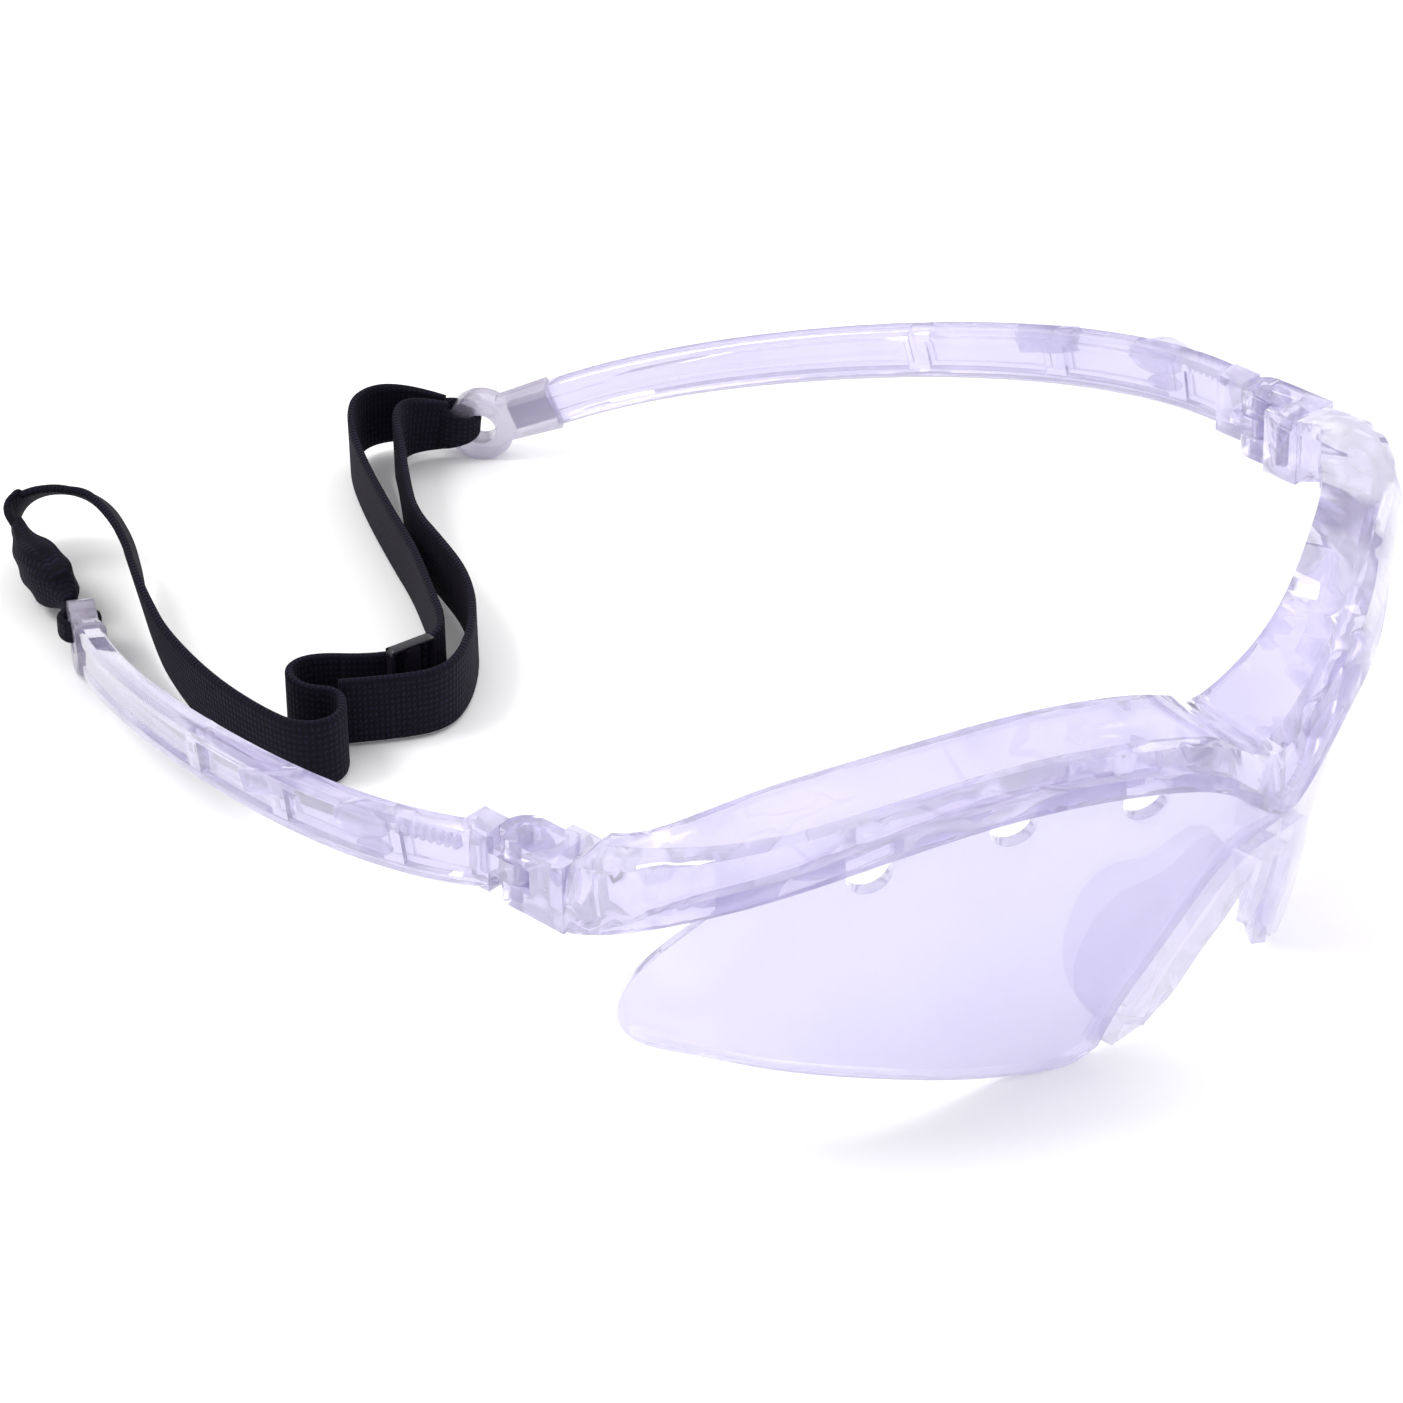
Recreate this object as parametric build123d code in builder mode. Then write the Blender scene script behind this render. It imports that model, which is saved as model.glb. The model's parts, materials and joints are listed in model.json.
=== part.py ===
"""Clear wraparound eye protectors with a one-piece lens and an adjustable head strap.

They stand on a level surface, on the lens's lower edges and the two ear tips. The wearer looks
along -Y, +Z is up, and the piece called right is on the +X side. Lengths are in millimetres.
"""
from build123d import *
from math import radians, tan
import os

os.makedirs("parts", exist_ok=True)

# ---- driving dimensions ----
half_width = 70.3            # brow bar's outer face to the middle, at the end pieces
front_depth = 57.0           # hinge line to the front of the bridge
brow_height = 44.6           # brow bar's lower edge over the eyes
bridge_height = 34.0         # the same edge at the bridge
end_height = 30.8            # the same edge at the end pieces
guard_thickness = 1.8
bar_depth = 4.6              # brow bar, front to back
lens_thickness = 2.0
lens_bulge = 0.9             # how far the lens bows out between its top and its bottom
groove_depth = 2.0
groove_clearance = 0.12
vent_width = 5.6
vent_drop = 4.4              # vent's lowest point below the brow bar
nose_half_width = 15.6       # lens's nose cut-out, half its width at the foot
nose_rim_width = 4.2
nose_wing_thickness = 1.7
nose_clearance = 0.05        # nose piece to lens
hinge_radius = 3.0
pin_radius = 0.9
pin_clearance = 0.05
hinge_gap = 0.3              # between the knuckles, and at the open stop
end_piece_height = 9.0
end_piece_width = 7.4
temple_height = 7.6
temple_thickness = 3.8
temple_reach = 112.0         # hinge line to the strap hole
temple_bow = 3.0             # how far a temple bows out past its hinge
tip_half_spacing = 36.8      # strap hole to the middle
tip_sleeve_length = 11.0
tip_ring_radius = 4.75
tip_ring_thickness = 3.4
strap_hole_radius = 2.2
strap_width = 10.0
strap_thickness = 1.1
strap_height = 5.3           # strap's centre line above the table
loop_thickness = 1.1         # narrow elastic loops
loop_width = 3.0
slider_thickness = 1.6
slider_length = 7.0
slider_height = 11.6

# the origin is under the middle of the spectacles, so lengths from the hinge line are shifted
ring_reach = 4.3             # strap hole to the ring's rearmost point
middle_y = (temple_reach + ring_reach - front_depth) / 2


def at(x, y, z):
    """A point whose y is counted from the hinge line."""
    return Vector(x, y - middle_y, z)


# ---- brow line ----
# Stations along the right half, from the bridge to the hinge. Each has the lower outer edge of
# the brow bar as shares of half_width, front_depth and the rise over end_height, the plan
# heading there in degrees, the face height, the depth, and the guard's reach back and rise.
brow_rise = brow_height - end_height
bridge_share = (bridge_height - end_height) / brow_rise
RIGHT_STATIONS = [
    (0.000, 1.000, bridge_share, 0, 8.4, bar_depth, 13.5, 10.4),
    (0.121, 0.998, 0.66, 9, 6.6, bar_depth, 12.0, 8.0),
    (0.270, 0.950, 1.00, 23, 5.6, bar_depth, 11.0, 6.8),
    (0.455, 0.814, 1.00, 32, 5.6, bar_depth, 9.7, 7.6),
    (0.661, 0.654, 0.79, 34, 5.8, bar_depth, 9.8, 8.0),
    (0.825, 0.510, 0.54, 42, 6.5, 5.0, 10.5, 8.3),
    (0.938, 0.365, 0.32, 60, 7.6, 6.2, 9.2, 8.7),
    (0.991, 0.235, 0.13, 79, 8.6, 7.0, 8.6, 9.1),
    (1.000, 0.150, 0.03, 90, 9.0, 7.2, 8.2, 9.4),
]
RIGHT_TILTS = [0.31, 0.30, 0.27, 0.22, 0.17, 0.13, 0.10, 0.10, 0.10]
RIGHT_GROOVES = [1, 1, 1, 1, 1, 1, 0.9, 0.05, 0.05]


def both_sides(right):
    """The right half's values with their mirror images, from the far left to the far right."""
    return right[:0:-1] + right


STATIONS = [(-s[0], s[1], s[2], -s[3], *s[4:]) for s in RIGHT_STATIONS[:0:-1]] + RIGHT_STATIONS
SECTIONS = list(zip(STATIONS, both_sides(RIGHT_TILTS), both_sides(RIGHT_GROOVES)))
lens_setback = 1.2           # brow bar's outer face to the lens's


def station_point(station):
    return at(
        station[0] * half_width,
        -station[1] * front_depth,
        end_height + station[2] * brow_rise,
    )


def station_plane(station):
    """Vertical, square to the brow line: local X points back towards the face, local Y is up."""
    heading = station[3]
    tangent = Vector(1, 0, 0).rotate(Axis.Z, heading)
    inward = Vector(0, 1, 0).rotate(Axis.Z, heading)
    return Plane(origin=station_point(station), x_dir=inward, z_dir=tangent)


def lens_lean(station, tilt):
    """How far back the lens runs for each millimetre down, just below the bar."""
    return tilt - 4 * lens_bulge / (station_point(station).Z + 3)


def bar_profile(station, tilt, groove):
    """Cross-section of the brow bar with its guard and the groove that holds the lens."""
    face, depth, reach, rise = station[4:]
    groove_top = groove_depth * groove
    groove_front = lens_setback - groove_clearance
    groove_back = lens_setback + lens_thickness + groove_clearance
    lean = lens_lean(station, tilt) * groove_top
    return [
        (0, 0),
        (0.15, 0.48 * face),
        (1.3, 0.93 * face),
        (2.6, face),
        (reach, rise),
        (reach + 0.3, rise - guard_thickness),
        (depth, face - guard_thickness - 0.4),
        (depth, 0),
        (groove_back + lean, 0),
        (groove_back, groove_top),
        (groove_front, groove_top),
        (groove_front + lean, 0),
    ]


def lens_blank_profile(station, tilt, groove, front, back):
    """Cross-section of a lens-shaped skin that reaches below the table, front and back of it."""
    top = groove_depth * groove - 2 * groove_clearance
    height = station_point(station).Z + 3
    low = tilt * height
    mid = tilt * height / 2 - lens_bulge
    return (
        [(front, top), (front + mid, -height / 2), (front + low, -height)],
        [(back + low, -height), (back + mid, -height / 2), (back, top)],
    )


def blank_sections(front, back):
    sections = []
    for station, tilt, groove in SECTIONS:
        outer, inner = lens_blank_profile(station, tilt, groove, front, back)
        with BuildSketch(station_plane(station)) as section:
            with BuildLine():
                ThreePointArc(*outer)
                Line(outer[2], inner[0])
                ThreePointArc(*inner)
                Line(inner[2], outer[0])
            make_face()
        sections.append(section.sketch)
    return sections


# ---- hinge ----
hinge_x = half_width - hinge_radius
hinge_low = end_height
hinge_high = end_height + end_piece_height
hinge_axis = at(hinge_x, 0, hinge_low)
knuckle_height = (end_piece_height - 2 * hinge_gap) / 3
stop_y = hinge_radius + hinge_gap


def knuckle(low, high, side):
    """A barrel round the hinge axis and the web that joins it to its body, on side -1 or +1."""
    with BuildPart() as barrel:
        with BuildSketch(Plane.XY.offset(low)):
            with Locations((hinge_x, -middle_y)):
                Circle(hinge_radius)
            with Locations((hinge_x, side * stop_y / 2 - middle_y)):
                Rectangle(2 * hinge_radius, stop_y)
        extrude(amount=high - low)
    return barrel.part


# ---- front frame ----
end_inner = half_width - end_piece_width
end_length = STATIONS[-1][1] * front_depth - stop_y
pocket_depth = end_piece_width - 2.6
pocket_height = end_piece_height - 3.6
rib_width = 3.2

with BuildPart() as end_piece:
    with BuildSketch(Plane.XY.offset(end_height)):
        with Locations((half_width - end_piece_width / 2, -stop_y - end_length / 2 - middle_y)):
            Rectangle(end_piece_width, end_length)
    extrude(amount=end_piece_height)
    # moulded recess in the inner side
    with BuildSketch(Plane.YZ.offset(end_inner)):
        recess_y = -stop_y - end_length / 2 - 0.4 - middle_y
        with Locations((recess_y, end_height + end_piece_height / 2)):
            Rectangle(end_length - rib_width, pocket_height)
    extrude(amount=pocket_depth, mode=Mode.SUBTRACT)
    # upper and lower hinge knuckles
    add(knuckle(hinge_low, hinge_low + knuckle_height, -1))
    add(knuckle(hinge_high - knuckle_height, hinge_high, -1))
    with BuildSketch(Plane.XY.offset(hinge_low)):
        with Locations((hinge_x, -middle_y)):
            Circle(pin_radius)
    extrude(amount=end_piece_height, mode=Mode.SUBTRACT)

with BuildPart() as front_frame:
    for station, tilt, groove in SECTIONS:
        with BuildSketch(station_plane(station)):
            with BuildLine():
                Polyline(*bar_profile(station, tilt, groove), close=True)
            make_face()
    loft()
    add(end_piece.part)
    add(mirror(end_piece.part, about=Plane.YZ))
front_frame.part.label = "front_frame"

# ---- lens ----
nose_top = bridge_height - 2.6
lens_foot = (20.5, 0.0)
# the lens's rear corner and the start of its foot, in plan, and the turn of the view that its
# free edge is drawn in, so that the edge is cut nearly square to the curved sheet
lens_corner = at(0.964 * half_width, -0.249 * front_depth, 0)
foot_start = at(0.304 * half_width, -0.699 * front_depth, 0)
edge_view = Plane(
    origin=lens_corner,
    x_dir=Vector(1, 0, 0).rotate(Axis.Z, 52),
    z_dir=Vector(0, -1, 0).rotate(Axis.Z, 52),
)
edge_run = (lens_corner - foot_start).dot(edge_view.x_dir)
# share of edge_run in from the corner, and height
FREE_EDGE = [
    (0.237, 36.6), (0.184, 34.1), (0.135, 31.9), (0.083, 29.2), (0.039, 26.5), (0.011, 23.8),
    (0.0, 21.4), (0.0105, 19.0), (0.048, 17.5), (0.112, 16.7), (0.193, 15.7), (0.330, 13.0),
    (0.467, 10.0), (0.604, 6.9), (0.742, 3.8), (0.882, 1.3), (1.0, 0.0),
]
nose_edge = [
    (nose_half_width, 2.0),
    (nose_half_width - 1.0, 9.0),
    (nose_half_width - 3.5, 16.2),
    (nose_half_width - 6.4, 24.0),
    (nose_half_width - 9.4, nose_top - 2.0),
    (0, nose_top),
]
VENT_X = [0.293, 0.486, 0.690]    # shares of half_width


def vent_plane(share):
    """Square to the lens under the brow bar, at a share of half_width to the right."""
    left = max((s for s in RIGHT_STATIONS if s[0] <= share), key=lambda s: s[0])
    right = min((s for s in RIGHT_STATIONS if s[0] > share), key=lambda s: s[0])
    run = station_point(right) - station_point(left)
    spot = station_point(left) + run * ((share - left[0]) / (right[0] - left[0]))
    level_run = Vector(run.X, run.Y, 0).normalized()
    return Plane(origin=spot, x_dir=level_run, z_dir=Vector(level_run.Y, -level_run.X, 0))


with BuildPart() as vents:
    for share in VENT_X:
        with BuildSketch(vent_plane(share)):
            with Locations((0, vent_width / 2 - vent_drop)):
                Circle(vent_width / 2)
            with Locations((0, vent_width / 2 - vent_drop + 4)):
                Rectangle(vent_width, 8)
        extrude(amount=8, both=True)
    mirror(about=Plane.YZ)

with BuildPart() as outside_edge:
    free_edge = [(-share * edge_run, height) for share, height in FREE_EDGE]
    with BuildSketch(edge_view):
        with BuildLine():
            Spline(*free_edge)
            Polyline(
                free_edge[-1], (-edge_run, -10), (12, -10), (12, 60), (free_edge[0][0], 60),
                free_edge[0],
            )
        make_face()
    extrude(amount=30, both=True)
    mirror(about=Plane.YZ)

with BuildPart() as lens:
    loft(blank_sections(lens_setback, lens_setback + lens_thickness))
    with BuildSketch(Plane.XZ.offset(-20)):
        with BuildLine():
            Polyline((0, nose_top), (0, 60), (half_width + 9, 60), (half_width + 9, 0), lens_foot)
            Spline(lens_foot, (17.6, 0.4), nose_edge[0])
            Spline(*nose_edge, tangents=[(-0.1, 1), (-1, 0)])
        make_face()
        mirror(about=Plane.YZ)
    extrude(amount=130, mode=Mode.INTERSECT)
    add(vents.part, mode=Mode.SUBTRACT)
    add(outside_edge.part, mode=Mode.SUBTRACT)
lens.part.label = "lens"

# ---- nose piece ----
rim_front = lens_setback - 1.6
rim_back = lens_setback + lens_thickness + 1.4


def inset_nose_edge(amount, foot_rise):
    """The nose edge moved towards the nose, with its foot raised."""
    inner = [(x - amount, z - 0.35 * amount) for x, z in nose_edge[:-1]]
    inner[0] = (inner[0][0], nose_edge[0][1] + foot_rise)
    return inner + [(0, nose_top - amount)]


rim_outer = inset_nose_edge(nose_clearance, 1.0)
rim_inner = inset_nose_edge(nose_rim_width, 3.6)
wing_plane = Plane(origin=at(12.2, 13.6 - front_depth, 5.0), x_dir=(0.6, 0.8, 0), z_dir=(0.8, -0.6, 0))
wing_outline = [(-2.4, -0.6), (3.2, 1.0), (6.8, 5.5), (7.7, 10.6), (6.2, 16.7), (2.9, 21.4),
                (-2.1, 23.8), (-7.2, 28.0), (-10.4, 25.1)]

with BuildPart() as nose_pad:
    with BuildSketch(wing_plane):
        with BuildLine():
            Spline(*wing_outline)
            Line(wing_outline[-1], wing_outline[0])
        make_face()
    extrude(amount=nose_wing_thickness / 2, both=True)

with BuildPart() as nose_piece:
    loft(blank_sections(rim_front, rim_back))
    with BuildSketch(Plane.XZ.offset(-20)):
        with BuildLine():
            Spline(*rim_outer, tangents=[(-0.1, 1), (-1, 0)])
            Line(rim_outer[-1], rim_inner[-1])
            Spline(*rim_inner, tangents=[(-0.1, 1), (-1, 0)])
            Line(rim_inner[0], rim_outer[0])
        make_face()
        mirror(about=Plane.YZ)
    extrude(amount=130, mode=Mode.INTERSECT)
    add(nose_pad.part)
    add(mirror(nose_pad.part, about=Plane.YZ))
nose_piece.part.label = "nose_piece"

# ---- temples ----
# The strap hole's centre and the straight last stretch of the temple, which the ear tip covers.
ring_centre = at(tip_half_spacing, temple_reach, tip_ring_radius)
tip_heading = Vector(-0.527, 0.763, -0.367).normalized()
sleeve_start = ring_centre - tip_heading * tip_sleeve_length
root_x = half_width - temple_thickness / 2
root_z = end_height + end_piece_height / 2
drop = root_z - sleeve_start.Z
back = sleeve_start.Y + middle_y - stop_y
inset = root_x - sleeve_start.X
TEMPLE_SHARES = [
    (0, 0, 0), (0.13, -1, 0.075), (0.33, -0.63, 0.21), (0.53, 0.116, 0.385), (0.75, 0.438, 0.626),
]


def temple_point(share):
    """A point on the right temple: share back, share of the bow or inset, and share of the drop."""
    along, across, down = share
    sideways = across * temple_bow if across < 0 else across * inset
    return at(root_x - sideways, stop_y + along * back, root_z - down * drop)


temple_points = [temple_point(share) for share in TEMPLE_SHARES] + [sleeve_start]
temple_headings = [Vector(0, 1, 0)]
for before, after in zip(temple_points, temple_points[2:]):
    temple_headings.append((after - before).normalized())
temple_headings.append(tip_heading)
recess = 0.75
rail = 1.5


def temple_profile(height, thickness, sink):
    """Cross-section with a shallow channel in each side between an upper and a lower rail."""
    a, b, c = thickness / 2, height / 2, height / 2 - rail
    quarter = [(a - 0.6, b), (a, b - 0.6), (a, c), (a - sink, c - 0.3)]
    right_side = quarter + [(x, -y) for x, y in reversed(quarter)]
    return right_side + [(-x, y) for x, y in reversed(right_side)]


def across_plane(origin, heading):
    """Square to a heading: local X is level and points in, local Y points up."""
    level = Vector(0, 0, 1).cross(heading).normalized()
    return Plane(origin=origin, x_dir=level, z_dir=heading)


temple_sizes = [1.0, 1.0, 0.97, 0.93, 0.88, 0.82]
tongue_length = 6.0
tongue_height = 3.4
tongue_thickness = 1.8
knuckle_low = hinge_low + knuckle_height + hinge_gap
knuckle_high = hinge_high - knuckle_height - hinge_gap
RIB_SPOTS = [1, 2, 3]

with BuildPart() as temple_right:
    for index, (point, heading) in enumerate(zip(temple_points, temple_headings)):
        size = temple_sizes[index]
        sink = recess if 0 < index < 5 else 0.2
        with BuildSketch(across_plane(point, heading)):
            with BuildLine():
                Polyline(
                    *temple_profile(temple_height * size, temple_thickness * size, sink), close=True
                )
            make_face()
    loft()
    # moulded ribs across the channels
    for index in RIB_SPOTS:
        with BuildSketch(across_plane(temple_points[index], temple_headings[index])):
            Rectangle(temple_thickness * 0.9, temple_height * 0.8)
        extrude(amount=1.6, both=True)
    # full-height shoulder and the middle knuckle
    with BuildSketch(Plane.XZ.offset(middle_y - stop_y)):
        with Locations((root_x, root_z)):
            Rectangle(temple_thickness, end_piece_height - 0.8)
    extrude(amount=-4.0)
    add(knuckle(knuckle_low, knuckle_high, 1))
    with BuildSketch(Plane.XY.offset(hinge_low)):
        with Locations((hinge_x, -middle_y)):
            Circle(pin_radius + pin_clearance)
    extrude(amount=end_piece_height, mode=Mode.SUBTRACT)
    # tongue for the ear tip
    with BuildSketch(across_plane(sleeve_start, tip_heading)):
        Rectangle(tongue_thickness, tongue_height)
    extrude(amount=tongue_length)
temple_right.part.label = "temple_right"

with BuildPart() as temple_left:
    add(mirror(temple_right.part, about=Plane.YZ))
temple_left.part.label = "temple_left"

# ---- hinge pins ----
with BuildPart() as hinge_pin_right:
    with BuildSketch(Plane.XY.offset(hinge_low)):
        with Locations((hinge_x, -middle_y)):
            Circle(pin_radius)
    extrude(amount=end_piece_height)
hinge_pin_right.part.label = "hinge_pin_right"

with BuildPart() as hinge_pin_left:
    add(mirror(hinge_pin_right.part, about=Plane.YZ))
hinge_pin_left.part.label = "hinge_pin_left"

# ---- ear tips ----
sleeve_height = temple_height * temple_sizes[-1] + 0.9
sleeve_thickness = temple_thickness * temple_sizes[-1] + 1.0
ring_axis = Vector(0, 0, 1).cross(tip_heading).normalized()

with BuildPart() as ear_tip_right:
    with BuildSketch(across_plane(sleeve_start, tip_heading)):
        RectangleRounded(sleeve_thickness, sleeve_height, 1.2)
    with BuildSketch(across_plane(ring_centre - tip_heading * 3.6, tip_heading)):
        RectangleRounded(tip_ring_thickness, sleeve_height * 0.95, 1.2)
    loft()
    with BuildSketch(Plane(origin=ring_centre, x_dir=tip_heading, z_dir=ring_axis)):
        Circle(tip_ring_radius)
    extrude(amount=tip_ring_thickness / 2, both=True)
    with BuildSketch(Plane(origin=ring_centre, x_dir=tip_heading, z_dir=ring_axis)):
        Circle(strap_hole_radius)
    extrude(amount=tip_ring_thickness, both=True, mode=Mode.SUBTRACT)
    with BuildSketch(across_plane(sleeve_start, tip_heading)):
        Rectangle(tongue_thickness + 0.1, tongue_height + 0.1)
    extrude(amount=tongue_length + 0.2, mode=Mode.SUBTRACT)
ear_tip_right.part.label = "ear_tip_right"

with BuildPart() as ear_tip_left:
    add(mirror(ear_tip_right.part, about=Plane.YZ))
ear_tip_left.part.label = "ear_tip_left"

# ---- strap ----
# Centre lines, chosen by hand, in plan: x, and y from the hinge line. The strap stands on edge.
STRAP_FREE = [
    (-27.9, 133.6), (-28.4, 138.0), (-25.1, 140.6), (-21.6, 138.4), (-18.6, 133.0), (-19.0, 125.6),
    (-22.2, 118.9), (-25.8, 113.4), (-30.2, 106.4), (-34.2, 98.0), (-37.8, 86.0),
    (-38.8, 76.0), (-37.6, 69.2), (-33.0, 67.3), (-29.8, 71.5), (-31.8, 75.8), (-30.0, 80.2),
    (-26.4, 80.4), (-23.6, 77.2),
]
STRAP_REAR = [
    (-23.6, 77.2), (-20.0, 73.1), (-12.9, 71.6), (-8.6, 74.0), (-3.4, 81.5), (2.2, 90.2),
    (6.3, 98.2), (13.0, 110.4), (18.4, 119.0), (23.8, 124.0), (28.6, 122.6), (31.2, 118.2),
]
STRAP_FRONT = [
    (-26.6, 71.9), (-21.6, 68.4), (-16.2, 66.2), (-11.0, 68.0), (-3.2, 73.0), (2.0, 80.0),
    (5.4, 88.0), (8.6, 96.6), (14.4, 104.0), (20.0, 110.4), (24.6, 114.4), (29.0, 115.0),
]


def strap_radii(points):
    """Radius of the arc at each inner point: 0.45 of the shorter run over tan of half the turn."""
    radii = []
    for a, b, c in zip(points, points[1:], points[2:]):
        first, second = Vector(b[0] - a[0], b[1] - a[1]), Vector(c[0] - b[0], c[1] - b[1])
        turn = first.get_angle(second)
        radii.append(0.45 * min(first.length, second.length) / tan(radians(turn / 2)))
    return radii


def strap_band(points):
    """A flat band standing on edge along runs joined by tangent arcs."""
    flat = [(x, y - middle_y) for x, y in points]
    radii = strap_radii(points)
    with BuildPart() as band:
        with BuildSketch(Plane.XY.offset(strap_height - strap_width / 2)):
            with BuildLine() as route:
                FilletPolyline(*flat, radius=radii)
            trace(line_width=strap_thickness)
        extrude(amount=strap_width)
    length = sum(edge.length for edge in route.edges())
    print("strap arc radii", [round(radius, 1) for radius in radii])
    print("strap length", round(length, 1), "volume share",
          round(band.part.volume / (length * strap_width * strap_thickness), 3))
    return band


strap_free = strap_band(STRAP_FREE)
strap_free.part.label = "strap_free"
strap_rear = strap_band(STRAP_REAR)
strap_rear.part.label = "strap_rear"
strap_front = strap_band(STRAP_FRONT)
strap_front.part.label = "strap_front"

# sewn end of the strap, folded over the left loop
left_hole = Vector(-ring_centre.X, ring_centre.Y, ring_centre.Z)
free_start = at(*STRAP_FREE[0], strap_height)
end_heading = Vector(free_start.X - left_hole.X, free_start.Y - left_hole.Y, 0).normalized()
sewn_length = 12.0
sewn_thickness = 4.6
sewn_height = 9.0
sewn_start = free_start - end_heading * (sewn_length + 0.3)

with BuildPart() as strap_end:
    with BuildSketch(across_plane(sewn_start, end_heading)):
        RectangleRounded(sewn_thickness, sewn_height, 1.2)
    extrude(amount=sewn_length)
strap_end.part.label = "strap_end"


# ---- narrow elastic loops through the strap holes ----
def elastic_loop(hole, end):
    """A flat link from a strap hole to the strap, round the ring's rear wall."""
    span = end - hole
    level = Vector(0, 0, 1).cross(span).normalized()
    inner_width = tip_ring_thickness + 3.2
    with BuildPart() as link:
        middle = hole + span * 0.5
        with BuildSketch(Plane(origin=middle, x_dir=span, z_dir=span.cross(level))):
            RectangleRounded(span.length, inner_width + 2 * loop_thickness, 1.0)
            Rectangle(span.length - 2 * loop_thickness, inner_width, mode=Mode.SUBTRACT)
        extrude(amount=loop_width / 2, both=True)
    return link


hole_step = loop_thickness / 2
tip_loop_left = elastic_loop(left_hole - end_heading * hole_step, sewn_start - end_heading * 0.4)
tip_loop_left.part.label = "tip_loop_left"

rear_end = at(*STRAP_REAR[-1], ring_centre.Z)
front_end = at(*STRAP_FRONT[-1], ring_centre.Z)
right_end = (rear_end + front_end) * 0.5
right_heading = (right_end - ring_centre).normalized()
tip_loop_right = elastic_loop(
    ring_centre - right_heading * hole_step, right_end - right_heading * 1.5
)
tip_loop_right.part.label = "tip_loop_right"

# ---- slider ----
slide_from = at(*STRAP_REAR[1], strap_height)
slide_to = at(*STRAP_REAR[2], strap_height)
slide_heading = (slide_to - slide_from).normalized()
slide_side = Vector(0, 0, 1).cross(slide_heading)
layer_gap = slider_thickness / 2 + strap_thickness / 2 + 0.3
slider_centre = slide_from + slide_heading * slider_length * 0.45 - slide_side * layer_gap
slider_centre.Z = slider_height / 2 + 0.2
window_length = 2.0
window_offset = 1.9

with BuildPart() as strap_slider:
    with BuildSketch(Plane(origin=slider_centre, x_dir=slide_heading, z_dir=slide_side)):
        RectangleRounded(slider_length, slider_height, 1.0)
        with Locations((window_offset, 0), (-window_offset, 0)):
            Rectangle(window_length, strap_width + 0.4, mode=Mode.SUBTRACT)
    extrude(amount=slider_thickness / 2, both=True)
strap_slider.part.label = "strap_slider"

PIECES = [
    front_frame, lens, nose_piece, temple_left, temple_right, hinge_pin_left, hinge_pin_right,
    ear_tip_left, ear_tip_right, tip_loop_left, tip_loop_right, strap_end, strap_free,
    strap_rear, strap_front, strap_slider,
]
for piece in PIECES:
    export_step(piece.part, f"parts/{piece.part.label}.step")
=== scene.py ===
# %% [markdown]
# # Clear eye protectors with a head strap
# These are clear wraparound eye protectors: one moulded lens, a clear brow frame, bowed temples
# on hinges, and a black elastic strap. The rigid parts are copies of the CAD model's parts with
# their sharp edges rounded. The strap is modelled here, because woven elastic twists and curls in
# ways that a solid doesn't.

# %% load the frame
import json
import math

import bmesh
import bpy
from mathutils import Matrix, Vector

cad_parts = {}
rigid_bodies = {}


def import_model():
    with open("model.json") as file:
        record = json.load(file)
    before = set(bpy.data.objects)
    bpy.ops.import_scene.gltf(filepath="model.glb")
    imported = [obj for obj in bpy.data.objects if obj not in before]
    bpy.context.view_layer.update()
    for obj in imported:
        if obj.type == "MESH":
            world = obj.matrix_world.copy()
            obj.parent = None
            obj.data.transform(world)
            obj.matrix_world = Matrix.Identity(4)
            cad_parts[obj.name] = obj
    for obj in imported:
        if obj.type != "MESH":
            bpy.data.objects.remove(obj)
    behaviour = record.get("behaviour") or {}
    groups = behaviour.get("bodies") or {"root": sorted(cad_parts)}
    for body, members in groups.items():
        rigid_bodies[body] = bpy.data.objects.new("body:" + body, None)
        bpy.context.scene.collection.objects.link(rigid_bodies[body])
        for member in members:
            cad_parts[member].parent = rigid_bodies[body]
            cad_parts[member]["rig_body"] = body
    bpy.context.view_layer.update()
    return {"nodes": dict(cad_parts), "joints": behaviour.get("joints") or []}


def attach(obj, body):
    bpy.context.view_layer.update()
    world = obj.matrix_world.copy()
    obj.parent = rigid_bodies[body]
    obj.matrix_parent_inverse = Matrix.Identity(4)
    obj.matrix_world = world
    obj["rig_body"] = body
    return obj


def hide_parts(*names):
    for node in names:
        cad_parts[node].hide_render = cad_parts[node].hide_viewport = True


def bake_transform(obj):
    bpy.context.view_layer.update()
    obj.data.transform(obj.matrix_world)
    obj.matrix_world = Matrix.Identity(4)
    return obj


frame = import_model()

# %% [markdown]
# The wearer looks along -Y. The two hinge lines give the place that all lengths along Y are
# counted from, so the route of the strap reads in the same way here as in the CAD source.

# %% places taken from the frame
joints = {joint["name"]: joint for joint in frame["joints"]}
HINGE_Y = joints["temple_right_fold"]["pos_m"][1]


def at(x, y, z):
    """A point in metres whose y is counted from the hinge line."""
    return Vector((x, y + HINGE_Y, z))


print("hinge line at y", round(HINGE_Y, 4))

# %% [markdown]
# ## Camera
# The view is from the front, over the left hinge's corner, about 33 degrees above the table,
# with a long lens, so that far and near parts are nearly the same size. The small shift frames
# the object without turning the camera.

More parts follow.
